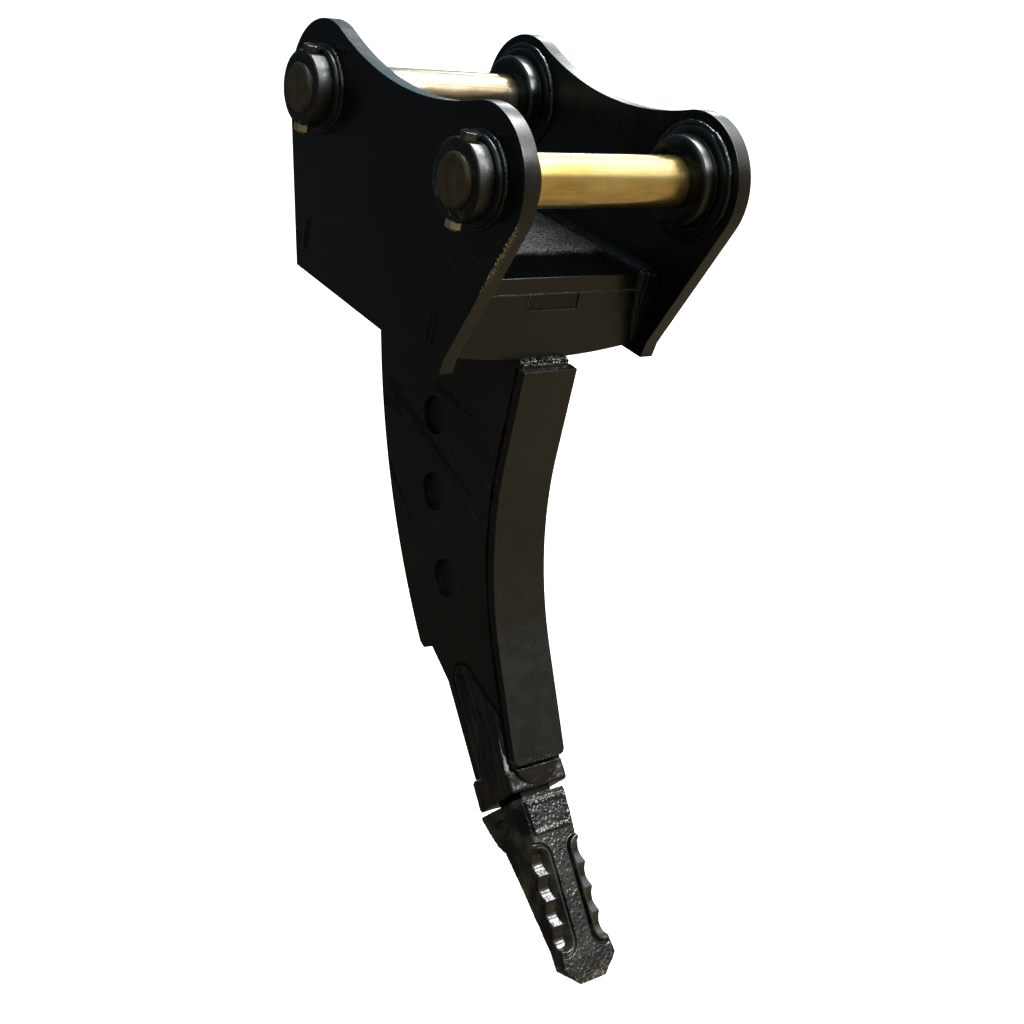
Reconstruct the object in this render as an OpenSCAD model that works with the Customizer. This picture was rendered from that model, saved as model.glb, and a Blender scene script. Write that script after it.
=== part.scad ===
// Single-shank ripper for an excavator: two ears hung on hitch pins, cross plates
// between them, a curved shank with a wear plate, a weld-on adapter and a cast tooth.
// Millimetres. X runs along the pins, -Y is the digging side and +Z is up.
// The origin lies on the front pin's axis, midway between the ears.

/* [Hitch pins] */
// Diameter of both hitch pins
pin_d = 80; // [60:1:86]
// Level distance from the front pin back to the rear pin
pin_run = 446; // [420:1:500]
// Height of the rear pin above the front pin
pin_rise = 151; // [110:1:190]
// How far a pin stands out of its collars
pin_end = 7; // [3:0.5:12]
// Running clearance round a pin
pin_gap = 0.3; // [0.1:0.05:0.6]

/* [Ears] */
// Clear width between the two ears
ear_gap = 379; // [340:1:430]
// Thickness of each ear
ear_t = 27; // [20:1:36]
// Radius of the round lobe about each pin
lobe_r = 110; // [98:1:120]
// Radius of the hollow between the two lobes
saddle_r = 580; // [420:5:800]
// Lean of the ears' front edge from upright
front_lean = 43.3; // [40:0.1:47]
// Depth of the ears' bottom edge below the line of the pins
ear_drop = 308; // [290:1:330]
// Height of the blunt step at the ears' front tip
tip_step = 22; // [12:1:30]

/* [Bosses and collars] */
// Diameter of the outer base rings
ring_d = 134; // [124:1:150]
// Thickness of the outer base rings
ring_t = 13; // [8:1:18]
// Diameter of the pin collars
collar_d = 120; // [112:1:122]
// Thickness of the pin collars
collar_t = 27; // [26:1:36]
// Diameter of the inner bosses
boss_d = 144; // [130:1:160]
// Depth of the inner bosses from the ear
boss_t = 36; // [24:1:46]
// Diameter of the inner bosses' weld flange
flange_d = 178; // [166:1:190]
// Thread diameter of the collar bolts
bolt_d = 16; // [12:1:17]

/* [Cross plates] */
// Depth of the top plate's upper face below the line of the pins
plate_drop = 168; // [155:1:180]
// Thickness of the top plate
top_t = 28; // [20:1:34]
// Thickness of the front and rear plates
cross_t = 25; // [16:1:30]
// Distance of the front plate's face behind the front pin
front_plate_u = 38.5; // [28:0.5:52]
// Distance of the rear plate's back ahead of the rear pin
rear_plate_u = -6; // [-10:1:20]
// How far the front plate's lower edge bellies down at its middle
plate_belly = 16; // [4:1:22]
// Height of the plates' side tabs
tab_h = 55; // [40:1:60]
// Height of the shank's tabs under the top plate
shank_tab_h = 26; // [18:1:36]
// Weld-up clearance round tabs and along seated edges
fit_gap = 0.3; // [0.1:0.1:1]

/* [Shank] */
// Thickness of the shank
shank_t = 100; // [80:1:110]
// Radius of the bend in the wear plate's face
bend_r = 600; // [520:5:700]
// Place of the bend's deepest point behind the front pin
bend_y = 197; // [190:1:204]
// Height of the bend's deepest point
bend_z = -648; // [-656:1:-640]
// Lean of the face above the bend
upper_lean = 19.5; // [18.5:0.1:20.5]
// Lean of the face below the bend
lower_lean = 13.5; // [12.5:0.1:14.5]
// Radius of the shank's back
back_r = 1290; // [1150:10:1400]
// Height where the shank's back starts to curve in
back_z = -290; // [-320:1:-260]
// Diameter of the round recesses
recess_d = 68; // [40:1:80]
// Depth of the round recesses
recess_t = 14; // [6:1:24]

/* [Wear plate] */
// Thickness of the wear plate
wear_t = 20; // [12:1:26]
// Width of the wear plate
wear_w = 108; // [104:1:118]
// Room for the weld between the front plate and the wear plate
wear_top_gap = 8; // [3:1:20]
// Open gap between the wear plate's lower end and the adapter
wear_low_gap = 3; // [1:0.5:10]
// Radius of the wear plate's lower corners
wear_corner = 11; // [4:1:30]

/* [Adapter] */
// Width of the adapter
adapter_w = 124; // [122:1:136]
// Height of the adapter's body
body_h = 38; // [30:1:44]
// Height of the adapter's legs above its body
leg_h = 205; // [160:1:215]
// Radius of the legs' round top
leg_r = 30; // [20:1:34]
// Open gap between the adapter and the tooth
rim_gap = 11; // [6:1:14]
// Width of the adapter's nose where it enters the tooth
nose_w = 68; // [60:1:76]
// Length of the nose inside the tooth
nose_l = 104; // [90:1:112]
// Clearance between the nose and the tooth's socket
nose_gap = 0.5; // [0.2:0.1:1.5]

/* [Tooth] */
// Lean of the tooth's face from upright
point_tilt = 27.5; // [26.5:0.1:28.5]
// Place of the tooth's upper edge behind the front pin
point_y = 131; // [128:1:134]
// Height of the tooth's upper edge
point_z = -1028; // [-1034:1:-1024]
// Width of the tooth
tooth_w = 112; // [106:1:120]
// Length of the tooth's face
tooth_l = 326; // [300:1:350]
// Depth of the tooth at its upper edge
tooth_d = 131; // [128:1:140]
// Width of the raised pad under the tooth's upper edge
pad_w = 88; // [70:1:92]
// Width of the spine down the tooth's face
spine_w = 40; // [30:1:50]
// Number of scallops down each flank
scallops = 4; // [3:1:5]
// Depth of the scallops below the tooth's face
scallop_t = 12; // [6:1:15]
// Width of the ridge round each pocket
ridge_w = 7; // [4:0.5:9]
// Diameter of the tooth's cross pin
cross_pin_d = 26; // [16:1:30]

/* [Hidden] */
$fn = 96;

PAINT = [0.07, 0.07, 0.075];
DUST = [0.30, 0.29, 0.26];
ZINC = [0.80, 0.66, 0.40];
CAST = [0.14, 0.14, 0.14];
STEPS = 28;
FAR = 2000;

// Hitch: the line of the pins is tilted by slope
slope = atan2(pin_rise, pin_run);
pin_span = norm([pin_run, pin_rise]);
bore_d = pin_d + 2*pin_gap;
pin_chamfer = 4;
centre_drill = 4;
ear_in = ear_gap/2;
ear_out = ear_in + ear_t;
ear_back = pin_run + lobe_r;
saddle_a = acos(pin_span/2/(lobe_r + saddle_r));
collar_x = ear_out + ring_t;
pin_half = collar_x + collar_t + pin_end;
bolt_x = collar_x + collar_t/2;
bolt_hole = bolt_d + 1;
bolt_seat = collar_d/2 - 3;
hex_d = 1.6*bolt_d/cos(30);
head_t = 0.75*bolt_d;
nut_t = 0.8*bolt_d;
collar_rim = 3;
ring_slant = 5;
boss_rim = 6;
boss_flange_t = 10;

// Cross plates, in the frame where both pins are level
top_v = -plate_drop - top_t;
plate_end_v = plate_belly - ear_drop;
front_back_u = front_plate_u + cross_t;
rear_back_u = pin_span - rear_plate_u;
rear_face_u = rear_back_u - cross_t;
tab_v = (top_v + plate_end_v)/2;
tab_inset = 1;
belly_r = (ear_in*ear_in + plate_belly*plate_belly)/(2*plate_belly);

// Tooth frame: n runs back from the tooth's face and s runs down it
rim_rise = 0.124;
body_rise = 0.155;
body_s = -rim_gap - body_h;
leg_s = body_s - leg_h;
leg_back_n = 97;
leg_taper = 6;
body_back_n = 122;
boss_r = 50;
boss_rise = 8;
boss_drop = 4;
nose_root_n = [18, 106];
nose_tip_n = [28, 62];
nose_root = 2;
nose_taper = 8;
pin_at = [70, 43];
pin_inset = 2;
pad_top = 9;
pad_end = 68;
pad_rise = 5;
pocket_top = 92;
pocket_end = tooth_l - 62;
pad_taper = 4;
pocket_r = 15;
ridge_rise = 3;
ridge_inset = 5;
scallop_pitch = (pocket_end - pocket_top)/scallops;
scallop_r = 0.6*scallop_pitch;
face_bevel = 17;
// Tooth wedge: its back as [distance in from the upper depth, way down], then the tip as
// [back from the face, way up from the end]
heel_pts = [[25, 76], [44, 89]];
wedge_pts = [[55, 134], [27, 34], [9, 0], [3, 0], [0, 26]];
waist = [3, 4];
tip_cut = 32;

// Bend of the wear plate's face, and the ends of its two straights
bend_c = [bend_y - bend_r, bend_z];
wear_up = (-ear_drop - wear_top_gap - level_v(bend_c + bend_r*[cos(upper_lean), sin(upper_lean)]))
  /cos(upper_lean - slope);
wear_low = (body_s - wear_low_gap - depth(bend_c + bend_r*[cos(lower_lean), -sin(lower_lean)]))
  /cos(point_tilt - lower_lean);

// Recesses: heights, and distances in from the shank's back
recess_z = [-396, -534, -686];
recess_in = [172, 145, 139];

// Shank's lower back: the shoulder over the adapter's legs, and the blunt corner of its heel
shoulder_back = 22;
shoulder_up = 50;
shoulder_run = 20;
heel_cut = [13, 9];

function arc(c, r, a0, a1, n = STEPS) =
  [for (i = [0:n]) let (a = a0 + (a1 - a0)*i/n) c + r*[cos(a), sin(a)]];
// Point of the level-pin frame in the part's frame, as [y, z]
function level(p) = [p[0]*cos(slope) - p[1]*sin(slope), p[0]*sin(slope) + p[1]*cos(slope)];
// Height of a point over the line of the pins
function level_v(p) = p[1]*cos(slope) - p[0]*sin(slope);
// Point of the tooth frame, back n and down s, in the part's frame
function down(n, s) = [
  point_y + n*cos(point_tilt) - s*sin(point_tilt),
  point_z - n*sin(point_tilt) - s*cos(point_tilt)
];
// How far a point lies down the tooth frame, and how far back
function depth(p) = (point_y - p[0])*sin(point_tilt) + (point_z - p[1])*cos(point_tilt);
function behind(p) = (p[0] - point_y)*cos(point_tilt) - (p[1] - point_z)*sin(point_tilt);
// Where the lower straight of the face, moved back by off, lies at depth s of the tooth frame
function edge_n(off, s) =
  let (p = bend_c + (bend_r + off)*[cos(lower_lean), -sin(lower_lean)])
  behind(p) + (s - depth(p))*tan(point_tilt - lower_lean);
// The wear plate's face moved back by off: straight, bend, straight
function face(off, up, low) =
  let (r = bend_r + off)
  concat(
    [bend_c + r*[cos(upper_lean), sin(upper_lean)] + up*[-sin(upper_lean), cos(upper_lean)]],
    arc(bend_c, r, upper_lean, -lower_lean),
    [bend_c + r*[cos(lower_lean), -sin(lower_lean)] - low*[sin(lower_lean), cos(lower_lean)]]
  );
function turned(list) = [for (i = [len(list) - 1:-1:0]) list[i]];
// Place of the shank's back at height z
function back_y(z) = ear_back - back_r + sqrt(back_r*back_r - pow(min(0, z - back_z), 2));

// Spread a [y, z] outline along X, centred
module along_x(w) rotate([90, 0, 90]) linear_extrude(w, center = true) children();
// Spread an [x, z] outline along Y, from y0 forwards by w
module along_y(y0, w) translate([0, y0, 0]) rotate([90, 0, 0]) linear_extrude(w) children();
// Frame with both pins level: Y along the line of the pins
module on_level() rotate([slope, 0, 0]) children();
// Frame of the tooth: Y back from its face, Z up along it
module on_tooth() translate([0, point_y, point_z]) rotate([-point_tilt, 0, 0]) children();
// Frame of a pin: X along it, Z square to the line of the pins
module on_pin(rear) translate([0, rear ? pin_run : 0, rear ? pin_rise : 0]) on_level() children();
// Turned part about a pin, whose outline is [radius, distance outwards from x]
module turned_on_pin(side, x, rear) {
  on_pin(rear) translate([side*x, 0, 0]) rotate([0, side*90, 0]) rotate_extrude() children();
}
// Box of the level-pin frame from [u0, v0] to [u1, v1]
module level_box(w, u0, v0, u1, v1) {
  on_level() translate([-w/2, u0, v0]) cube([w, u1 - u0, v1 - v0]);
}

// Ear outline: rear lobe, saddle, front lobe, leaning front edge, blunt tip, bottom edge
function ear_outline() =
  let (saddle = level([pin_span/2, (lobe_r + saddle_r)*sin(saddle_a)]))
  let (edge = [sin(front_lean), -cos(front_lean)])
  let (start = -lobe_r*[cos(front_lean), sin(front_lean)])
  let (reach = (ear_drop + level_v(start))/-level_v(edge))
  let (kink = start + edge*(reach - tip_step/cos(front_lean)))
  let (tip_y = start[0] + reach*edge[0] - tip_step/3)
  concat(
    arc([pin_run, pin_rise], lobe_r, 0, 180 - saddle_a + slope),
    arc(saddle, saddle_r, slope - saddle_a, slope + saddle_a - 180),
    arc([0, 0], lobe_r, saddle_a + slope, 180 + front_lean, 2*STEPS),
    [kink, [tip_y, bottom_z(tip_y)], [ear_back, bottom_z(ear_back)]]
  );
// Height of the ears' bottom edge at y
function bottom_z(y) = y*tan(slope) - ear_drop/cos(slope);

// Flame-cut hitch plate with two pin bores and two slots for the cross plates' tabs
module ear(side) {
  color(PAINT) difference() {
    translate([side*(ear_in + ear_t/2), 0, 0]) along_x(ear_t) polygon(ear_outline());
    for (rear = [false, true]) on_pin(rear) translate([side*ear_in, 0, 0]) rotate([0, 90, 0])
      cylinder(d = bore_d, h = 4*ear_t, center = true);
    for (u = [front_plate_u, rear_face_u])
      on_level() translate([side*(ear_in + ear_t/2), u + cross_t/2, tab_v])
        cube([2*ear_t, cross_t + 2*fit_gap, tab_h + 2*fit_gap], center = true);
  }
}

// Thick washer welded outside the ear, its edge run down into the weld
module base_ring(side, rear) {
  color(PAINT) turned_on_pin(side, ear_out, rear) polygon([
    [bore_d/2, 0], [ring_d/2, 0], [ring_d/2, 0.6*ring_t], [ring_d/2 - ring_slant, ring_t], [bore_d/2, ring_t]
  ]);
}

// Turned collar over the pin's end, with two spot faces and a hole for its bolt
module collar(side, rear) {
  rim = collar_rim;
  color(PAINT) difference() {
    turned_on_pin(side, collar_x, rear) polygon([
      [bore_d/2, 0], [collar_d/2, 0], [collar_d/2, collar_t - rim], [collar_d/2 - rim, collar_t],
      [bore_d/2 + rim/2, collar_t], [bore_d/2, collar_t - rim/2]
    ]);
    on_pin(rear) translate([side*bolt_x, 0, 0]) {
      cylinder(d = bolt_hole, h = 2*collar_d, center = true);
      for (end = [-1, 1]) translate([0, 0, end*(bolt_seat + collar_d/2)])
        cube([2*collar_t, collar_d, collar_d], center = true);
    }
  }
}

// Stepped boss welded inside the ear: flange, barrel and a chamfered rim
module boss(side, rear) {
  rim = boss_rim;
  color(PAINT) turned_on_pin(-side, -ear_in, rear) polygon([
    [bore_d/2, 0], [flange_d/2, 0], [flange_d/2, boss_flange_t/2], [flange_d/2 - rim, boss_flange_t],
    [boss_d/2, boss_flange_t], [boss_d/2, boss_t - rim], [boss_d/2 - rim, boss_t], [bore_d/2, boss_t]
  ]);
}

// Plated bar with chamfered, centre-drilled ends and a cross hole under each collar
module hitch_pin(rear) {
  half = [
    [0, pin_half - centre_drill], [centre_drill, pin_half], [pin_d/2 - pin_chamfer, pin_half],
    [pin_d/2, pin_half - pin_chamfer]
  ];
  color(ZINC) on_pin(rear) difference() {
    rotate([0, 90, 0]) rotate_extrude() polygon(concat(half, turned([for (p = half) [p[0], -p[1]]])));
    for (side = [-1, 1]) translate([side*bolt_x, 0, 0]) cylinder(d = bolt_hole, h = 2*pin_d, center = true);
  }
}

// Places its children at the four collars, square to the line of the pins
module at_collars() {
  for (side = [-1, 1], rear = [false, true]) on_pin(rear) translate([side*bolt_x, 0, 0]) children();
}

module hex(h) rotate(30) cylinder(d = hex_d, h = h, $fn = 6);

module collar_bolts() {
  shaft = 2*bolt_seat + nut_t + bolt_d/4;
  color(PAINT) at_collars() {
    translate([0, 0, bolt_seat]) hex(head_t);
    translate([0, 0, bolt_seat - shaft]) cylinder(d = bolt_d, h = shaft + head_t/2);
  }
}

module collar_nuts() {
  color(ZINC) at_collars() translate([0, 0, -bolt_seat - nut_t]) difference() {
    hex(nut_t);
    cylinder(d = bolt_d + 2*fit_gap, h = 3*nut_t, center = true);
  }
}

module top_plate() {
  color(DUST) level_box(ear_gap, front_plate_u, top_v, rear_back_u, -plate_drop);
}

// Cross plate outline in [x, v]: two side tabs and a slot for the shank's tab
module cross_outline(belly) {
  difference() {
    union() {
      translate([-ear_in, plate_end_v]) square([ear_gap, top_v - plate_end_v]);
      translate([tab_inset - ear_out, tab_v - tab_h/2]) square([2*(ear_out - tab_inset), tab_h]);
      if (belly) intersection() {
        translate([0, belly_r - ear_drop]) circle(belly_r, $fn = 360);
        translate([-ear_in, -ear_drop - 1]) square([ear_gap, plate_belly + 2]);
      }
    }
    translate([-shank_t/2 - fit_gap, top_v - shank_tab_h - fit_gap])
      square([shank_t + 2*fit_gap, 2*shank_tab_h]);
  }
}
module cross_plate(u, belly) {
  color(PAINT) on_level() along_y(u + cross_t, cross_t) cross_outline(belly);
}
module front_plate() cross_plate(front_plate_u, true);
module rear_plate() cross_plate(rear_face_u, false);

// Shank outline: front edge behind the wear plate, nose, shoulder, heel and curved back
function shank_outline() =
  let (seat = wear_t + fit_gap)
  let (nose_s = body_s - fit_gap)
  let (shoulder = down(body_back_n + shoulder_back, leg_s - shoulder_up))
  let (heel_a = -asin((back_z - shoulder[1])/back_r))
  concat(
    face(seat, 2*wear_up, wear_low),
    [down(edge_n(seat, nose_s), nose_s), down(body_back_n, nose_s), down(body_back_n, leg_s + shoulder_run)],
    [shoulder, [back_y(shoulder[1]) - heel_cut[0], shoulder[1] - heel_cut[1]]],
    arc([ear_back - back_r, back_z], back_r, heel_a, 0),
    [[ear_back, pin_rise]]
  );

// Plate on edge, cut back round the cross plates so that a tab passes through each
module shank() {
  tab_low = top_v - shank_tab_h;
  color(PAINT) difference() {
    along_x(shank_t) polygon(shank_outline());
    level_box(FAR, -FAR, top_v - fit_gap, FAR, FAR);
    level_box(FAR, -FAR, -ear_drop - fit_gap, front_plate_u + tab_inset, FAR);
    level_box(FAR, -FAR, -ear_drop - fit_gap, front_back_u + fit_gap, tab_low);
    level_box(FAR, rear_back_u - tab_inset, plate_end_v - fit_gap, FAR, FAR);
    level_box(FAR, rear_face_u - fit_gap, plate_end_v - fit_gap, FAR, tab_low);
    for (side = [-1, 1], i = [0:len(recess_z) - 1])
      translate([side*shank_t/2, back_y(recess_z[i]) - recess_in[i], recess_z[i]]) rotate([0, 90, 0])
        cylinder(d = recess_d, h = 2*recess_t, center = true);
  }
}

// Bent bar over the shank's front edge, its lower corners rounded
module wear_plate() {
  front = face(0, wear_up, wear_low);
  low = front[len(front) - 1];
  color(PAINT) difference() {
    along_x(wear_w) polygon(concat(front, turned(face(wear_t, wear_up, wear_low))));
    for (side = [-1, 1]) translate([0, low[0], low[1]]) rotate([-lower_lean, 0, 0])
      translate([side*(wear_w/2 - wear_corner), 0, wear_corner]) difference() {
        translate([side*wear_corner, 0, -wear_corner])
          cube([2*wear_corner, 3*wear_t, 2*wear_corner], center = true);
        rotate([90, 0, 0]) cylinder(r = wear_corner, h = 4*wear_t, center = true);
      }
  }
}

// Nose that carries the tooth, a wedge in both views, grown by gap
module nose(gap) {
  root = rim_gap + nose_root;
  tip = -nose_l - gap;
  half = nose_w/2 + gap;
  on_tooth() intersection() {
    along_x(FAR) polygon([
      [nose_root_n[0] - gap, root], [nose_root_n[1] + gap, root],
      [nose_tip_n[1] + gap, tip], [nose_tip_n[0] - gap, tip]
    ]);
    along_y(FAR/2, FAR)
      polygon([[-half, root], [half, root], [half - nose_taper, tip], [nose_taper - half, tip]]);
  }
}

// Side outline of the adapter's legs, round at the top
module leg_outline() {
  top = -leg_s - leg_r;
  bottom = -body_s - 1;
  wide = -body_s + 0.41*leg_h;
  seat = wear_t + fit_gap;
  polygon([
    [leg_back_n, bottom], [leg_back_n, top], [leg_back_n - 2*leg_r, top],
    [edge_n(seat, -wide), wide], [edge_n(seat, -bottom), bottom]
  ]);
  translate([leg_back_n - leg_r, top]) circle(leg_r);
}

// Casting: two tapered legs beside the shank, a flared body with a round boss, and the nose
module adapter() {
  wide = adapter_w/2;
  leg_wide = wide - leg_taper;
  color(CAST) difference() {
    union() {
      on_tooth() intersection() {
        along_x(adapter_w) union() {
          polygon([
            [0, rim_gap], [body_back_n, rim_gap - body_back_n*body_rise],
            [body_back_n, -body_s], [-boss_rise, -body_s]
          ]);
          leg_outline();
        }
        along_y(FAR/2, FAR) polygon([
          [-wide, -rim_gap], [wide, -rim_gap], [wide, -body_s], [leg_wide, -leg_s + 1],
          [-leg_wide, -leg_s + 1], [-wide, -body_s]
        ]);
      }
      on_tooth() along_y(boss_rise, 2*boss_rise) intersection() {
        translate([0, rim_gap + boss_drop + boss_r]) circle(boss_r);
        square([2*boss_r, -2*body_s], center = true);
      }
      nose(0);
    }
    on_tooth() translate([-shank_t/2 - fit_gap, -FAR/2, -body_s]) cube([shank_t + 2*fit_gap, FAR, FAR]);
    cross_bar(2*FAR, fit_gap);
  }
}

// Bar of the cross pin's size, grown by gap
module cross_bar(length, gap) {
  on_tooth() translate([0, pin_at[0], -pin_at[1]]) rotate([0, 90, 0])
    cylinder(d = cross_pin_d + 2*gap, h = length, center = true);
}

// Outline of a flank's pocket in [x, up], open to the side and grown by grow
module pocket_outline(side, grow) {
  inner = spine_w/2 + ridge_w - grow;
  tall = pocket_end - pocket_top + 2*grow;
  scale([side, 1]) translate([inner, -pocket_end - grow]) {
    translate([pocket_r, 0]) square([tooth_w, tall]);
    translate([0, pocket_r]) square([tooth_w, tall - 2*pocket_r]);
    for (v = [pocket_r, tall - pocket_r]) translate([pocket_r, v]) circle(pocket_r);
  }
}

// Side outline of the tooth's wedge, and its face outline with the tip's corners cut
module tooth_side() {
  polygon(concat(
    [[0, 0], [tooth_d, -tooth_d*rim_rise]],
    [for (p = heel_pts) [tooth_d - p[0], -p[1]]],
    [for (p = wedge_pts) [p[0], p[1] - tooth_l]]
  ));
}
module tooth_face() {
  right = [
    [tooth_w/2, 1], [tooth_w/2 - waist[0], ridge_w - pocket_top], [tooth_w/2 - waist[1], -pocket_end],
    [tooth_w/2, tip_cut - tooth_l], [tooth_w/2 - tip_cut, -tooth_l]
  ];
  polygon(concat(right, turned([for (p = right) [-p[0], p[1]]])));
}

// Cylinders across a flank that scoop out its scallops, side by side down the pocket
module scoops() {
  for (i = [0:scallops - 1])
    translate([0, scallop_t - scallop_r, -pocket_top - scallop_pitch*(i + 0.5)]) rotate([0, 90, 0])
      cylinder(r = scallop_r, h = 2*tooth_w, center = true);
}

// Cast point: wedge with a socket, a raised pad, and ridged pockets of scallops in its flanks
module tooth() {
  color(CAST) difference() {
    union() {
      on_tooth() intersection() {
        along_x(tooth_w) tooth_side();
        along_y(FAR/2, FAR) tooth_face();
      }
      on_tooth() along_y(1, 1 + pad_rise) polygon([
        [-pad_w/2, -pad_top], [pad_w/2, -pad_top],
        [pad_w/2 - pad_taper, -pad_end], [pad_taper - pad_w/2, -pad_end]
      ]);
      on_tooth() along_y(1, 1 + ridge_rise) intersection() {
        for (side = [-1, 1]) difference() {
          pocket_outline(side, ridge_w);
          pocket_outline(side, 0);
        }
        square([tooth_w - 2*ridge_inset, 2*tooth_l], center = true);
      }
    }
    nose(nose_gap);
    cross_bar(2*FAR, fit_gap);
    // bevels beside the pad
    on_tooth() for (side = [-1, 1]) translate([side*tooth_w/2, 0, -pocket_top/2]) rotate(45)
      cube([face_bevel, face_bevel, pocket_top - face_bevel], center = true);
    on_tooth() intersection() {
      scoops();
      for (side = [-1, 1]) along_y(2*scallop_t, 4*scallop_t) pocket_outline(side, 0);
    }
  }
}

module tooth_pin() {
  color(CAST) cross_bar(tooth_w - 2*pin_inset, 0);
}

ear(-1);  // left_ear
ear(1);  // right_ear
base_ring(-1, false);  // left_front_ring
base_ring(1, false);  // right_front_ring
base_ring(-1, true);  // left_rear_ring
base_ring(1, true);  // right_rear_ring
collar(-1, false);  // left_front_collar
collar(1, false);  // right_front_collar
collar(-1, true);  // left_rear_collar
collar(1, true);  // right_rear_collar
boss(-1, false);  // left_front_boss
boss(1, false);  // right_front_boss
boss(-1, true);  // left_rear_boss
boss(1, true);  // right_rear_boss
hitch_pin(false);  // front_pin
hitch_pin(true);  // rear_pin
collar_bolts();
collar_nuts();
top_plate();
front_plate();
rear_plate();
shank();
wear_plate();
adapter();
tooth();
tooth_pin();
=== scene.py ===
# A single-shank excavator ripper: two plate ears on hitch pins, cross plates between them,
# a curved shank behind a wear plate, and a cast adapter that carries a cast tooth.
# The sections follow the order of assembly. Shapes are worked out in millimetres.
import math

import bmesh
import bpy
import numpy as np
from mathutils import Matrix, Vector


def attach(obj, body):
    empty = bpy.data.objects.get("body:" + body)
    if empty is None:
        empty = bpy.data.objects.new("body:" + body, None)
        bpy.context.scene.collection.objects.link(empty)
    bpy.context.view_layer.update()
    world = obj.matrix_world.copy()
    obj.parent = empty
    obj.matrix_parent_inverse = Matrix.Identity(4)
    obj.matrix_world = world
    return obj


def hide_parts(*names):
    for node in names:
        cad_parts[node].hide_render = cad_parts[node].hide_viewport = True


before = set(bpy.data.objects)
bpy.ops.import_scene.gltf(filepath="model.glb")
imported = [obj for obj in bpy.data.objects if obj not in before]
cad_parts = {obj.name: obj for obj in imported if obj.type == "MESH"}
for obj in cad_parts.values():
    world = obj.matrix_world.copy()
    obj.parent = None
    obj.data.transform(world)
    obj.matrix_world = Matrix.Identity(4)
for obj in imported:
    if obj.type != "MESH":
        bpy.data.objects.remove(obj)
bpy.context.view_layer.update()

# Ears: two flame-cut steel plates with a lobe round each pin, painted in satin black
# enamel. The cut edges are eased by grinding, and the left one is scraped on its front edge.
BLACK = (0.0010, 0.0011, 0.0013, 1.0)
PITCH = (0.0004, 0.0004, 0.0004, 1.0)
FILM = (0.017, 0.0145, 0.010, 1.0)
SPECK = (0.16, 0.15, 0.13, 1.0)
FLAKE = (0.30, 0.28, 0.24, 1.0)
BRIGHT_SCRAPE = (0.46, 0.33, 0.15, 1.0)
SCRATCH = (0.5, 0.05, 0.70, (0.010, 0.010, 0.009, 1))
EAR_EASE = 1.3
FRONT_LEAN = math.radians(43.3)
FRONT_EDGE, LEFT_SKIN = (-0.1075, -0.1092), (-0.205, -0.2155)
SCRAPE_AT, SCRAPE_REACH = (-0.2165, -0.050, -0.106), 0.085
MM = 0.001


def feed(tree, socket, value):
    """Links the socket to another, or sets it to a plain value."""
    if isinstance(value, bpy.types.NodeSocket):
        tree.links.new(value, socket)
    else:
        socket.default_value = value


def nodes_of(tree):
    """Function that adds a shader node to the tree with the given inputs and settings."""
    def add(kind, inputs=None, **settings):
        node = tree.nodes.new("ShaderNode" + kind)
        for key, value in settings.items():
            setattr(node, key, value)
        for key, value in (inputs or {}).items():
            feed(tree, node.inputs[key], value)
        return node
    return add


def finish_of(name):
    """New material, a function that adds its nodes, and one that feeds its shader's sockets."""
    material = bpy.data.materials.new(name)
    material.use_nodes = True
    tree = material.node_tree

    def join(**sockets):
        for key, value in sockets.items():
            feed(tree, tree.nodes["Principled BSDF"].inputs[key.replace("_", " ")], value)
    return material, nodes_of(tree), join


def share_of(add, value, low, high):
    """Share that goes from 0 to 1 as value goes from low to high."""
    return add("MapRange", {"Value": value, "From Min": low, "From Max": high}).outputs[0]


def maths(add, operation, *values):
    """Result of a Math node's operation on the values."""
    return add("Math", dict(enumerate(values)), operation=operation).outputs[0]


def dot(add, place, way):
    """Distance of place along the unit direction way."""
    return add("VectorMath", {0: place, 1: way}, operation="DOT_PRODUCT").outputs["Value"]


def part_of(add, vector, axis):
    """The vector's part along X, Y or Z."""
    return add("SeparateXYZ", {0: vector}).outputs[axis]


def grain(add, place, scale, detail=2.0, low=0.4, high=0.6):
    """Noise of the given scale, read at place and stretched so that low..high becomes 0..1."""
    noise = add("TexNoise", {"Vector": place, "Scale": scale, "Detail": detail})
    return share_of(add, noise.outputs["Fac"], low, high)


def blended(add, share, first, second):
    """Colour that goes from first to second as share goes from 0 to 1."""
    return add("Mix", {0: share, 6: first, 7: second}, data_type="RGBA").outputs[2]


def product(add, first, second):
    """The two shares multiplied."""
    return add("Math", {0: first, 1: second}, operation="MULTIPLY", use_clamp=True).outputs[0]


def spread(add, share, low, high):
    """Share 0..1 carried to low..high."""
    return add("MapRange", {"Value": share, "To Min": low, "To Max": high}).outputs[0]


def scratches(add, place, turn, stretch, low, scale=150):
    """Thin streaks: noise pulled out along the direction of the Y-Z plane at turn from the Y axis,
    by shrinking the coordinate along it, and cut off below low."""
    way = (0, math.cos(turn), math.sin(turn))
    shrunk = maths(add, "MULTIPLY", dot(add, place, way), stretch - 1)
    pulled = add("VectorMath", {0: way, "Scale": shrunk}, operation="SCALE").outputs[0]
    drawn = add("VectorMath", {0: place, 1: pulled}).outputs[0]
    return grain(add, drawn, scale, 1.0, low, low + 0.05)


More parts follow.
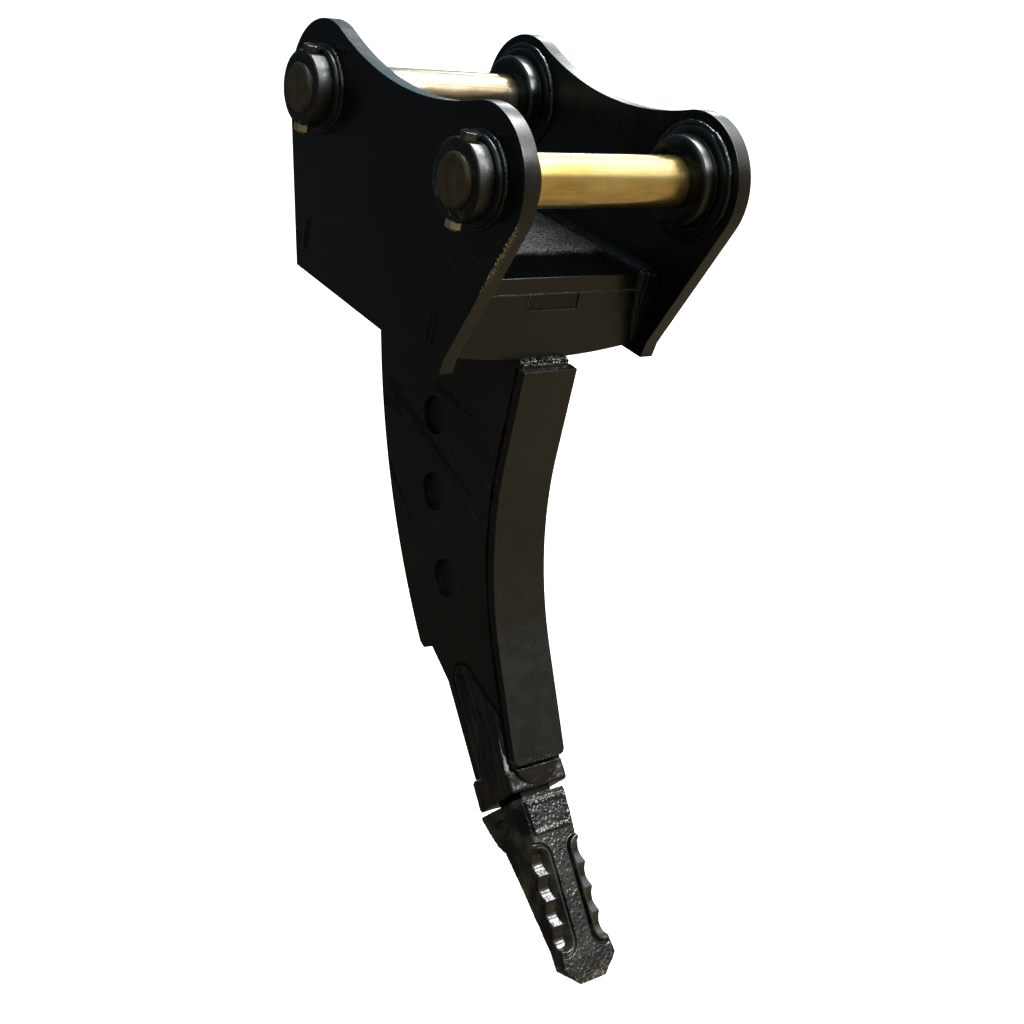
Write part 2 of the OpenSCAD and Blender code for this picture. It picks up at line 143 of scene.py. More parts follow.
def streaks(add, place, start, end, width):
    """Smears drawn from start to end in the Y-Z plane, in metres, that thin out towards the end:
    the distance square to the line is compared with a width that shrinks along it."""
    run = np.subtract(end, start)
    reach = np.hypot(*run)
    run = run/reach
    shift = add("VectorMath", {0: place, 1: (0, *start)}, operation="SUBTRACT").outputs[0]
    ragged = grain(add, place, 55, 5.0, 0.25, 0.56)
    along = dot(add, shift, (0, *run))
    side = maths(add, "ABSOLUTE", dot(add, shift, (0, -run[1], run[0])))
    room = add("MapRange", {"Value": along, "From Max": reach, "To Min": width, "To Max": 0}).outputs[0]
    inside = maths(add, "SUBTRACT", maths(add, "MULTIPLY", room, ragged), side)
    return product(add, share_of(add, inside, 0.0, 0.0030), share_of(add, along, -0.004, 0.004))


def enamel(name, film=0.15, rough=(0.24, 0.30), gloss=0.45, peel=0.10, base=BLACK,
           marks=(), smears=(), scrape=None, specks=0.0, chips=None):
    """Black enamel: orange peel and faint waves in the plate, a thin film of dust in clouds and
    on what faces up, scratches where marks gives their turn, stretch, cut-off and tone, black
    smears, pale specks, chips below the height chips, in metres, and in scrape bare metal near a
    point, drawn out along the ears' edge."""
    material, add, join = finish_of(name)
    place = add("TexCoord").outputs["Object"]
    clouds = grain(add, place, 7, 5.0, 0.42, 0.70)
    up = part_of(add, add("NewGeometry").outputs["Normal"], "Z")
    lying = add("MapRange", {"Value": up, "From Min": 0.2, "From Max": 1.0, "To Min": 0.35}).outputs[0]
    colour = blended(add, product(add, product(add, clouds, lying), film), base, FILM)
    roughness = spread(add, grain(add, place, 38, 4.0), *rough)
    for turn, stretch, low, tone in marks:
        patch = grain(add, place, 5, 2.0, 0.50, 0.62)
        drawn = scratches(add, place, turn, stretch, low)
        colour = blended(add, product(add, drawn, patch), colour, tone)
    for start, end, width in smears:
        smear = streaks(add, place, start, end, width)
        colour = blended(add, smear, colour, PITCH)
        roughness = maths(add, "MULTIPLY_ADD", smear, -0.30, roughness)
    if specks:
        dots = product(add, grain(add, place, 400, 0.0, 0.79, 0.84), specks)
        colour = blended(add, dots, colour, SPECK)
    if chips:
        low = share_of(add, part_of(add, place, "Z"), chips + 0.012, chips)
        flakes = product(add, low, grain(add, place, 330, 2.0, 0.60, 0.66))
        colour = blended(add, flakes, colour, FLAKE)
    if scrape:
        middle, reach = scrape
        drawn = add("Mapping", {"Vector": place, "Rotation": (FRONT_LEAN, 0, 0), "Scale": (1, 1, 0.12)})
        away = add("VectorMath", {0: place, 1: middle}, operation="DISTANCE").outputs["Value"]
        near = share_of(add, away, reach, 0.4*reach)
        square = dot(add, place, (0, math.cos(FRONT_LEAN), math.sin(FRONT_LEAN)))
        on_edge = share_of(add, square, *FRONT_EDGE)
        outside = share_of(add, part_of(add, place, "X"), *LEFT_SKIN)
        ragged = grain(add, drawn.outputs[0], 420, 4.0, 0.50, 0.60)
        bare = product(add, product(add, near, on_edge), ragged)
        colour = blended(add, product(add, bare, outside), colour, BRIGHT_SCRAPE)
    peeled = grain(add, place, 420, 3.0, 0.2, 0.8)
    skin_bump = add("Bump", {"Height": peeled, "Strength": peel, "Distance": 0.0006})
    wave = add("Bump", {"Height": grain(add, place, 11, 2.0, 0.2, 0.8), "Strength": 0.06, "Distance": 0.01,
                        "Normal": skin_bump.outputs[0]})
    join(Base_Color=colour, Roughness=roughness, Normal=wave.outputs[0], Specular_IOR_Level=gloss)
    return material


def eased(node, width, material):
    """Piece copied from a CAD node, facets joined, edges rounded by width and shaded smooth."""
    work = bmesh.new()
    work.from_mesh(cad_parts[node].data)
    bmesh.ops.remove_doubles(work, verts=work.verts, dist=1e-5)
    bmesh.ops.dissolve_limit(work, angle_limit=math.radians(0.5), verts=work.verts, edges=work.edges)
    mesh = bpy.data.meshes.new(node + "_plate")
    work.to_mesh(mesh)
    work.free()
    mesh.materials.append(material)
    mesh.polygons.foreach_set("material_index", np.zeros(len(mesh.polygons), np.int32))
    mesh.polygons.foreach_set("use_smooth", np.ones(len(mesh.polygons), bool))
    piece = bpy.data.objects.new(node + "_plate", mesh)
    bpy.context.scene.collection.objects.link(piece)
    bevel = piece.modifiers.new("eased_edges", "BEVEL")
    bevel.width = width*MM
    bevel.segments = 2
    bevel.limit_method = "ANGLE"
    bevel.angle_limit = math.radians(28)
    piece.modifiers.new("flat_faces", "WEIGHTED_NORMAL").weight = 100
    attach(piece, "root")
    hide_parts(node)


ear_enamel = enamel("ear_enamel", marks=[SCRATCH])
left_ear_enamel = enamel("left_ear_enamel", marks=[SCRATCH], scrape=(SCRAPE_AT, SCRAPE_REACH))
eased("left_ear", EAR_EASE, left_ear_enamel)
eased("right_ear", EAR_EASE, ear_enamel)

# Outer base rings and inner bosses: turned steel rings welded round each pin's bore, one
# washer outside each ear and a stepped boss inside it, under the same enamel.
EAR_IN, EAR_OUT = 189.5, 216.5
PINS = {"front": (0.0, 0.0), "rear": (446.0, 151.0)}
SLOPE = math.atan2(151, 446)
BORE_R = 40.3
RING_R, FLANGE_R = 67, 89
RING = [(BORE_R, 0), (RING_R, 0), (RING_R, 7.0), (66.2, 8.6), (63.2, 12.2), (61.6, 13), (BORE_R, 13)]
BOSS = [(BORE_R, 0), (FLANGE_R, 0), (FLANGE_R, 4.2), (88, 6), (84, 9.4), (82.4, 10), (73.6, 10), (72, 11.6),
        (72, 29), (71.2, 31), (67, 35.2), (65, 36), (BORE_R, 36)]
SIDES = {"left": -1, "right": 1}


def skin(name, sections, ring=False):
    """Closed skin through rows of sections: point (i, j) is the j-th point round section i, quads
    join neighbouring sections, and the ends meet as a ring or are closed by fans to their middles."""
    count, round_ = sections.shape[:2]
    index = np.arange(count*round_).reshape(count, round_)
    if ring:
        index = np.vstack([index, index[:1]])
    turned_index = np.roll(index, -1, axis=1)
    quads = np.stack([index[:-1], turned_index[:-1], turned_index[1:], index[1:]], -1).reshape(-1, 4)
    points = sections.reshape(-1, 3)
    faces = quads.tolist()
    if not ring:
        points = np.vstack([points, sections[[0, -1]].mean(1)])
        hubs = np.array([[count*round_], [count*round_ + 1]])
        fans = np.stack([index[[0, -1]], turned_index[[0, -1]], np.broadcast_to(hubs, (2, round_))], -1)
        faces += fans.reshape(-1, 3).tolist()
    mesh = bpy.data.meshes.new(name)
    mesh.from_pydata((points*MM).tolist(), [], faces)
    return mesh


def shells(name, meshes):
    """One mesh of several closed skins, doubles merged, with every shell facing outwards."""
    work = bmesh.new()
    for mesh in meshes:
        work.from_mesh(mesh)
        bpy.data.meshes.remove(mesh)
    bmesh.ops.remove_doubles(work, verts=work.verts, dist=1e-6)
    bmesh.ops.dissolve_degenerate(work, dist=1e-7, edges=work.edges)
    bmesh.ops.recalc_face_normals(work, faces=work.faces)
    joined = bpy.data.meshes.new(name)
    work.to_mesh(joined)
    work.free()
    return joined


def fitted(mesh, material, slot, *nodes, crease=40):
    """Piece of the mesh, shaded smooth up to the crease angle, that rides and stands for the nodes."""
    mesh.materials.append(material)
    mesh.polygons.foreach_set("use_smooth", np.ones(len(mesh.polygons), bool))
    mesh.set_sharp_from_angle(angle=math.radians(crease))
    piece = bpy.data.objects.new(mesh.name, mesh)
    bpy.context.scene.collection.objects.link(piece)
    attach(piece, "root")
    if nodes:
        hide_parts(*nodes)


def on_pin(pin, x, along, up):
    """Points at x, and at (along, up) from a pin's axis, with up square to the line of the pins."""
    y, z = PINS[pin]
    return np.stack(np.broadcast_arrays(
        x, y + along*math.cos(SLOPE) - up*math.sin(SLOPE), z + along*math.sin(SLOPE) + up*math.cos(SLOPE)), -1)


def turned(name, pin, foot, outwards, outline, flat=1e9):
    """Ring turned about a pin: each outline point (radius, reach) goes round the axis at foot plus
    outwards times reach, and flat cuts it off above and below the axis."""
    angle = np.linspace(0, 2*np.pi, 160, endpoint=False)[:, None]
    radius, reach = np.array(outline, float).T
    up = np.clip(radius*np.sin(angle), -flat, flat)
    return skin(name, on_pin(pin, foot + outwards*reach, radius*np.cos(angle), up), ring=True)


hub_enamel = enamel("hub_enamel", film=0.25, rough=(0.16, 0.28), gloss=0.5)
for side, way in SIDES.items():
    for pin in PINS:
        ring_node = f"{side}_{pin}_ring"
        boss_node = f"{side}_{pin}_boss"
        ring = shells(ring_node + "_turned", [turned(ring_node, pin, way*EAR_OUT, way, RING)])
        boss = shells(boss_node + "_turned", [turned(boss_node, pin, way*EAR_IN, -way, BOSS)])
        fitted(ring, hub_enamel, "black_paint", ring_node)
        fitted(boss, hub_enamel, "black_paint", boss_node)

# Welds of the hubs: a hand-laid fillet bead round the foot of every base ring and boss
# flange, under the same coats of paint, glossier where the paint has pooled.
RING_LEG, FLANGE_LEG = 5.5, 6.5
RIPPLE_PITCH, SINK = 7.0, 0.8


def smooth(value, low, high):
    """Smoothstep of value from 0 at low to 1 at high."""
    part = np.clip((value - low)/(high - low), 0, 1)
    return part*part*(3 - 2*part)


def lumps(points, size, seed):
    """Smooth random heights in -1..1: every corner of a lattice of cells of the given size has a
    hashed height, and a point blends its eight corners by smoothsteps."""
    place = points/size
    cell = np.floor(place)
    part = place - cell
    part = part*part*(3 - 2*part)
    total = np.zeros(points.shape[:-1])
    for corner in np.ndindex(2, 2, 2):
        offset = np.array(corner)
        height = np.sin((cell + offset) @ np.array([127.1, 311.7, 74.7]) + seed)*43758.5453
        weight = np.prod(np.where(offset == 1, part, 1 - part), axis=-1)
        total += weight*(2*(height - np.floor(height)) - 1)
    return total


def bead(path, first, second, leg, closed=False, bulge=0.20, passes=1, ripple=0.05, uneven=0.10,
         ends=1.0, seed=0.0):
    """Fillet weld carried along a path: its face runs from leg along the first direction to leg
    along the second, bulges between them, and has one wandering lobe for each pass, crescent
    ripples and an uneven width. Its open ends taper over ends times the leg."""
    path, first, second = np.broadcast_arrays(path, first, second)
    leg = np.broadcast_to(leg, len(path))[:, None]
    size = leg.mean()
    step = np.linalg.norm(np.diff(path, axis=0, append=path[:1] if closed else path[-1:]), axis=1)
    run = np.concatenate([[0], np.cumsum(step)[:-1]])[:, None]
    total = step.sum()
    across = np.linspace(0, 1, 8*passes + 5)
    wander = across + 0.16*lumps(path, 26.0, seed + 2)[:, None] + 0.08*lumps(path, 8.0, seed + 3)[:, None]
    lobe = np.mod(passes*wander, 1)
    turns = round(total/RIPPLE_PITCH) if closed else total/RIPPLE_PITCH
    phase = run/total*turns - 3.6*(lobe - 0.5)**2
    knots = path[:, None]*np.ones((1, across.size, 1)) + across[:, None]*size
    scale = 1 + uneven*(lumps(knots, 4*size, seed) + 0.6*lumps(knots, 1.3*size, seed))
    scale = scale + ripple*(2*np.abs(np.sin(np.pi*phase)) - 1)
    if not closed:
        taper = np.clip(np.minimum(run, total - run)/(ends*size), 0, 1)
        scale = scale*(0.12 + 0.88*np.sqrt(taper*(2 - taper)))
    swell = bulge*np.sin(np.pi*across)
    if passes > 1:
        swell = swell + 0.030*np.abs(np.sin(np.pi*lobe))*(1 + 0.8*lumps(knots, 2*size, seed + 7))
    one = leg*scale*(1 - across + swell)
    two = leg*scale*(across + swell)
    face = path[:, None] + one[..., None]*first[:, None] + two[..., None]*second[:, None]
    root = (path - SINK*first - SINK*second)[:, None]
    toes = [face[:, -1:] - SINK*first[:, None], root, face[:, :1] - SINK*second[:, None]]
    return skin("bead", np.concatenate([face, *toes], axis=1), ring=closed)


def round_bead(pin, x, radius, outwards, leg, seed):
    """Bead round a ring's foot at x, reaching outwards in radius and along the pin."""
    angle = np.linspace(0, 2*np.pi, 260, endpoint=False)
    path = on_pin(pin, x, radius*np.cos(angle), radius*np.sin(angle))
    away = on_pin(pin, 0.0, np.cos(angle), np.sin(angle)) - on_pin(pin, 0.0, 0.0, 0.0)
    return bead(path, away, np.array([outwards, 0.0, 0.0]), leg, closed=True, ripple=0.04, uneven=0.22,
                seed=seed)


weld_enamel = enamel("weld_enamel", film=0.3, rough=(0.12, 0.26), gloss=0.55, peel=0.2)
hub_beads = []
for side, way in SIDES.items():
    for number, pin in enumerate(PINS):
        hub_beads.append(round_bead(pin, way*EAR_OUT, RING_R, way, RING_LEG, 3*number + way))
        hub_beads.append(round_bead(pin, way*EAR_IN, FLANGE_R, -way, FLANGE_LEG, 5*number + way))
fitted(shells("hub_welds", hub_beads), weld_enamel, "black_paint")

# Top plate: a sloping cover plate let in between the ears, painted black, with sandy dust
# caught on its upper face except along a strip at the front that has been wiped.
PLATE_FRONT, PLATE_REAR = 38.5, 476.9
PLATE_TOP, PLATE_UNDER = -168.0, -196.0
DUST = (0.026, 0.025, 0.021, 1.0)
DUST_EDGE = (0.135, 0.160)


def dusty_enamel():
    """Black enamel under dust: the dust lies in clouds and speckles on the upper face, and fades
    over the front margin, found from the distance along the line of the pins."""
    material, add, join = finish_of("dusty_enamel")
    place = add("TexCoord").outputs["Object"]
    along = dot(add, place, (0, math.cos(SLOPE), math.sin(SLOPE)))
    wobble = grain(add, place, 30, 3.0, 0.3, 0.7)
    behind = share_of(add, maths(add, "MULTIPLY_ADD", wobble, 0.010, along), *DUST_EDGE)
    lying = share_of(add, part_of(add, add("NewGeometry").outputs["Normal"], "Z"), 0.75, 0.93)
    clouds = spread(add, grain(add, place, 18, 4.0, 0.30, 0.66), 0.55, 1.0)
    specks = spread(add, grain(add, place, 310, 2.0, 0.40, 0.60), 0.18, 1.0)
    share = product(add, product(add, behind, lying), product(add, clouds, specks))
    bump = add("Bump", {"Height": product(add, specks, behind), "Strength": 0.4, "Distance": 0.0010})
    clean = spread(add, lying, 0.26, 0.14)
    roughness = maths(add, "MULTIPLY_ADD", share, 0.60, clean)
    join(Base_Color=blended(add, share, BLACK, DUST), Roughness=roughness, Normal=bump.outputs[0])
    return material


eased("top_plate", 1.4, dusty_enamel())

# Cross plates: the bellied front plate under the top plate's front edge and the plain rear
# plate, cut from thick sheet, with tabs that pass through slots in the ears.
plate_enamel = enamel("plate_enamel", film=0.2, rough=(0.26, 0.36))
eased("front_plate", 1.2, plate_enamel)
eased("rear_plate", 1.2, plate_enamel)

# Welds of the cross plates: wide dark fillets of several passes that tie them to the ears, paler
# narrow beads between them and round the shank's tabs, and runs over the ends of their own tabs.
TAB_HALF, TAB_DROP, TAB_UP = 50.3, 26.3, -244.0
TAB_A, TAB_B = 15, 31
FILLET_FOOT, SEAM_HALF, SET_IN = -291, EAR_IN - 12, 1.2


def level(x, along, up):
    """Points of the frame with both pins level: along the line of the pins and square to it."""
    return on_pin("front", x, along, up)


def straight(start, end, gap=3.0):
    """Evenly spaced points from start to end."""
    count = max(4, int(np.linalg.norm(np.subtract(end, start))/gap))
    return np.linspace(start, end, count)


def narrow_bead(path, side, ahead, leg, uneven, seed):
    """Small bead set into a plate's face, so that it stands only a little proud of it."""
    return bead(path - SET_IN*ahead, side, ahead, leg, bulge=0.3, uneven=uneven, seed=seed)


RISE = level(0.0, 0.0, 1.0)
AHEAD = level(0.0, -1.0, 0.0)
ACROSS = np.array([1.0, 0.0, 0.0])
plate_beads, narrow_beads = [], []
for way in SIDES.values():
    inner = way*EAR_IN
    rise = straight(level(inner, PLATE_FRONT, FILLET_FOOT), level(inner, PLATE_FRONT, PLATE_TOP + 7))
    plate_beads += [
        bead(straight(level(inner, PLATE_FRONT - 4, PLATE_TOP), level(inner, PLATE_REAR, PLATE_TOP)),
             RISE, -way*ACROSS, 11.0, bulge=-0.10, passes=3, ripple=0.012, ends=0.35, seed=11 + way),
        bead(rise, AHEAD, -way*ACROSS, np.linspace(9, 22, len(rise)), bulge=-0.13, passes=4, ripple=0.014,
             uneven=0.20, ends=0.4, seed=15 + way),
        bead(straight(level(inner, PLATE_REAR, FILLET_FOOT), level(inner, PLATE_REAR, PLATE_TOP)),
             -AHEAD, -way*ACROSS, 9.0, bulge=0.05, passes=2, ripple=0.02, seed=19 + way),
    ]
for along, ahead in ((PLATE_FRONT, AHEAD), (PLATE_REAR, -AHEAD)):
    corner = level(0.0, along, PLATE_UNDER)
    seam = straight(corner - SEAM_HALF*ACROSS, corner + SEAM_HALF*ACROSS, 2.0)
    narrow_beads.append(narrow_bead(seam, RISE, ahead, 2.2, 0.4, 25.0))
    for way in SIDES.values():
        edge = corner + way*TAB_HALF*ACROSS
        drop = straight(edge, edge - TAB_DROP*RISE, 2.0)
        narrow_beads.append(narrow_bead(drop, way*ACROSS, ahead, 2.4, 0.5, 27 + way))
    low = corner - TAB_DROP*RISE
    sill = straight(low - TAB_HALF*ACROSS, low + TAB_HALF*ACROSS, 2.0)
    narrow_beads.append(narrow_bead(sill, -RISE, ahead, 2.4, 0.5, 28.0))
dark_weld = enamel("dark_weld", film=0.1, rough=(0.22, 0.34), gloss=0.28, peel=0.2)
fitted(shells("plate_welds", plate_beads), dark_weld, "black_paint")
pale_weld = enamel("pale_weld", film=0.3, rough=(0.30, 0.40), base=(0.026, 0.0235, 0.018, 1))
fitted(shells("narrow_welds", narrow_beads), pale_weld, "black_paint")


def slot_run(a, b):
    """Weld run round the rim of a rounded slot, with a sunk, grainy floor inside."""
    rim = np.hypot(a, np.maximum(np.abs(b) - 20, 0)) - 7.5
    points = np.stack(np.broadcast_arrays(a, b, 0*b), -1)
    return np.exp(-(rim/1.8)**2)*(0.8 + 0.3*lumps(points, 8.0, 3.0)) + 0.16*lumps(points, 2.6, 7.0)*(rim < 0)


def keyhole_run(a, b):
    """Weld dab over a slot's top and a narrow run down from it."""
    dab = np.sqrt(np.maximum(1 - ((a - 1)/10)**2 - ((b - 19)/12)**2, 0))
    tail = np.sqrt(np.maximum(1 - ((a + 1)/6)**2, 0))*smooth(b, -29, -22)*(1 - smooth(b, 10, 20))
    return np.maximum(1.5*dab, 1.3*tail)


def tab_fill(way, along, run):
    """Weld over a tab's end: a height field on the slot, with the run raised on it, that dips into
    the ear at its rim and is closed by a back inside the ear."""
    a = np.linspace(-TAB_A, TAB_A, 41)
    b = np.linspace(-TAB_B, TAB_B, 81)[:, None]
    rim = smooth(np.minimum(TAB_A - np.abs(a), TAB_B - np.abs(b)), 0, 3)
    height = rim*(0.3 + 2.4*run(a, b)) - 0.8*(1 - rim)
    face = level(way*(EAR_OUT + height), along + a, TAB_UP + b)
    back = level(way*(EAR_OUT - 3.0 + 0*height), along + a, TAB_UP + b)[:, ::-1]
    return skin("fill", np.concatenate([face, back], axis=1))


tab_fills = [tab_fill(way, along, run) for way in SIDES.values()
             for along, run in ((PLATE_FRONT + 12.5, slot_run), (PLATE_REAR - 12.5, keyhole_run))]
fitted(shells("tab_welds", tab_fills), ear_enamel, "black_paint", crease=60)

# Shank: a thick curved plate on edge, flame-cut, with three shallow round recesses in each
# side. The enamel on its sides carries long diagonal scratches and smears of black.
shank_enamel = enamel(
    "shank_enamel", film=0.6, rough=(0.36, 0.46), gloss=0.30, base=(0.0056, 0.0050, 0.0035, 1),
    marks=[(0.62, 0.06, 0.68, (0.022, 0.020, 0.015, 1))],
    smears=[((0.530, -0.350), (0.215, -0.560), 0.022), ((0.556, -0.372), (0.470, -0.415), 0.020),
            ((0.556, -0.480), (0.410, -0.660), 0.012), ((0.535, -0.500), (0.440, -0.625), 0.010),
            ((0.375, -0.338), (0.205, -0.410), 0.014)],
)
eased("shank", 1.4, shank_enamel)

# Wear plate: a bent bar of hard plate over the shank's front edge. Its lower end is chipped
# bright along the edge where it meets the adapter.
wear_enamel = enamel("wear_enamel", film=0.3, rough=(0.28, 0.36), gloss=0.5, specks=0.45, chips=-0.975)
eased("wear_plate", 1.3, wear_enamel)

# Welds of the shank: beads down both sides of the wear plate, pitch black as painted shade in
# its gap, and two heavy glossy beads over its top end, where the shank stands against the front plate.
BEND_Y, BEND_Z, BEND_R = -403.0, -648.0, 600.0
UPPER_LEAN, LOWER_LEAN = math.radians(19.5), math.radians(13.5)
WEAR_UP, WEAR_LOW, WEAR_T = 160.2, 189.2, 20.0
SHANK_HALF = 50.0
LEDGES = [(PLATE_FRONT, -308.5, 4.5, 10.0, 49, 29), (28.6, -316.0, 7.5, 6.0, 48, 37)]


def wear_face(x, back):
    """Points down the wear plate's face moved back by back, with the directions square to it:
    straight, arc and straight by the distance run."""
    radius = BEND_R + back
    lengths = np.array([WEAR_UP, radius*(UPPER_LEAN + LOWER_LEAN), WEAR_LOW])
    run = np.linspace(0, lengths.sum(), 170)
    angle = UPPER_LEAN - np.clip((run - WEAR_UP)/radius, 0, UPPER_LEAN + LOWER_LEAN)
    over = np.maximum(WEAR_UP - run, 0) - np.maximum(run - WEAR_UP - lengths[1], 0)
    y = BEND_Y + radius*np.cos(angle) - over*np.sin(angle)
    z = BEND_Z + radius*np.sin(angle) + over*np.cos(angle)
    square = np.stack([0*run, np.cos(angle), np.sin(angle)], -1)
    return np.stack([np.full_like(run, x), y, z], -1), square


shank_beads, side_beads = [], []
for way in SIDES.values():
    path, square = wear_face(way*SHANK_HALF, WEAR_T)
    side_beads.append(bead(path, square, way*ACROSS, 6.0, bulge=0.22, ripple=0.07, uneven=0.22, seed=23 + way))
for along, up, rise, ahead, reach, seed in LEDGES:
    ledge = straight(level(-reach, along, up), level(reach, along, up), 1.5)
    shank_beads.append(bead(ledge, rise*RISE, ahead*AHEAD, 1.0, bulge=0.18, ripple=0.05, uneven=0.32,
                            ends=4.0, seed=seed))
fitted(shells("shank_welds", shank_beads), weld_enamel, "black_paint")
# Pitch black with no dust on the side beads: painted shade of the gap along the wear plate.
seam_shade_enamel = enamel("seam_shade_enamel", film=0.0, rough=(0.14, 0.26), gloss=0.35, base=PITCH)
fitted(shells("wear_welds", side_beads), seam_shade_enamel, "black_paint")

# Adapter: a steel casting with two tongue-shaped legs welded to the shank's sides, a flared
# body with a half-round boss in front, and a nose for the tooth, all under thick gloss paint
# that is streaked with tan on the left, with a painted highlight, a pale streak, down that leg's front edge.
TILT = math.radians(27.5)
POINT_Y, POINT_Z = 131.0, -1028.0
ADAPTER_HALF, LEG_TOP_HALF = 62.0, 56.0
BODY_TOP, BODY_LOW, BODY_BACK = -49.0, -11.0, 122.0
LEG_TOP, LEG_R, LEG_BACK, LEG_WIDE = -254.0, 30.0, 97.0, -133.0
BOSS_R, BOSS_S, BOSS_RISE = 50.0, -65.0, 8.0
CHAMFER, CHAMFER_TOP, CHAMFER_FULL = 8.0, -118, -60
BODY_CORNER, BODY_SLOPE = 11.0, 0.155
SEAT_N, SEAT_S = -47.2, -240.6
NOSE_HALF, NOSE_TOP, NOSE_L, NOSE_CORNER = 34, -14, 118, 6.0
CAST_BLACK, CAST_DUST = (0.0030, 0.0030, 0.0030, 1), (0.050, 0.042, 0.029, 1)
# Of these, the last, a pale grey, is a painted highlight along the left leg's front edge.
WORN_IRON, TAN, PAINTED_GLINT = (0.26, 0.25, 0.23, 1), (0.018, 0.0135, 0.0075, 1), (0.62, 0.61, 0.58, 1)
LEFT_LEG = (-0.050, -0.051)
# Where the pale streak is painted as a highlight: start, end and width in metres.
LEG_GLINT = ((0.1555, -0.986), (0.1780, -0.921), 0.0052)


def on_tooth(x, back, down):
    """Points of the tooth's frame: back from its face and down along it."""
    return np.stack(np.broadcast_arrays(
        x, POINT_Y + back*math.cos(TILT) - down*math.sin(TILT),
        POINT_Z - back*math.sin(TILT) - down*math.cos(TILT)), -1)


def square_loop(front, side, back):
    """Unit loop round a section, from -1 to 1 across and 0 to 1 back, with the given counts along
    its front, sides and back."""
    across = np.concatenate([np.linspace(-1, 1, front, endpoint=False), np.ones(side),
                             np.linspace(1, -1, back, endpoint=False), -np.ones(side)])
    deep = np.concatenate([np.zeros(front), np.linspace(0, 1, side, endpoint=False),
                           np.ones(back), np.linspace(1, 0, side, endpoint=False)])
    return across, deep


def rounded(x, n, half, front, back, radius):
    """Points of a rectangle's rim with the corners drawn in to arcs of the radius."""
    middle, reach = (front + back)/2, (back - front)/2
    over_x = np.abs(x) - (half - radius)
    over_n = np.abs(n - middle) - (reach - radius)
    corner = (over_x > 0) & (over_n > 0)
    shrink = np.where(corner, radius/np.maximum(np.hypot(over_x, over_n), 1e-6), 1.0)
    x = np.where(corner, np.sign(x)*(half - radius + over_x*shrink), x)
    n = np.where(corner, middle + np.sign(n - middle)*(reach - radius + over_n*shrink), n)
    return x, n


def roughened(mesh, layers, share=None):
    """Moves every point along its normal by the sum of lumps of each (size, height) in mm, times
    the share of grit there, which the mesh then keeps."""
    count = len(mesh.vertices)
    points, normals = np.empty(count*3), np.empty(count*3)
    mesh.vertices.foreach_get("co", points)
    mesh.vertices.foreach_get("normal", normals)
    points, normals = points.reshape(-1, 3)/MM, normals.reshape(-1, 3)
    height = sum(amount*lumps(points, size, 17.0*size) for size, amount in layers)
    if share:
        height = height*share(points)
        mesh.attributes.new("grit", "FLOAT", "POINT").data.foreach_set("value", share(points))
    mesh.vertices.foreach_set("co", ((points + normals*height[:, None])*MM).ravel())
    mesh.update()
    return mesh


def adapter_body():
    """Body: rounded sections from the legs down to the sloping rim, with the half-round boss
    raised on the front, more towards its upper lip, by a smoothstep of the distance to its edge."""
    across, deep = square_loop(90, 50, 40)
    row = np.linspace(0, 1, 44)[:, None]
    ease = np.minimum(smooth(row, -0.02, 0.10), 1 - 0.6*smooth(row, 0.90, 1.0))
    half = ADAPTER_HALF - 3*(1 - ease)
    x, n = rounded(across*half, deep*BODY_BACK, half, 0.0, BODY_BACK, BODY_CORNER)
    low = BODY_LOW + BODY_SLOPE*n
    s = BODY_TOP + row*(low - BODY_TOP)
    raised = 1 - smooth(np.hypot(x, s - BOSS_S), BOSS_R - 2, BOSS_R + 1)
    n = n - (1.0 + BOSS_RISE*(1 - row))*raised*(1 - deep)
    n = n + 2.5*(1 - ease)*(1 - 2*deep)
    return skin("body", on_tooth(x, n, s))


def seat(s):
    """Front edge of a leg at s where it lies along the wear plate."""
    return SEAT_N + (s - SEAT_S)*math.tan(TILT - LOWER_LEAN)


def leg_edges(s):
    """Front and back edge of a leg at s: round at the top, leaning out to its widest place, then
    back along the wear plate."""
    middle = LEG_BACK - LEG_R
    arch = np.sqrt(np.maximum(LEG_R**2 - np.minimum(s - LEG_TOP - LEG_R, 0)**2, 0))
    lean = np.interp(s, [LEG_TOP + LEG_R, LEG_WIDE], [0.0, middle - LEG_R - seat(LEG_WIDE)])
    front = np.where(s < LEG_WIDE, middle - arch - lean, seat(s))
    return front, middle + arch


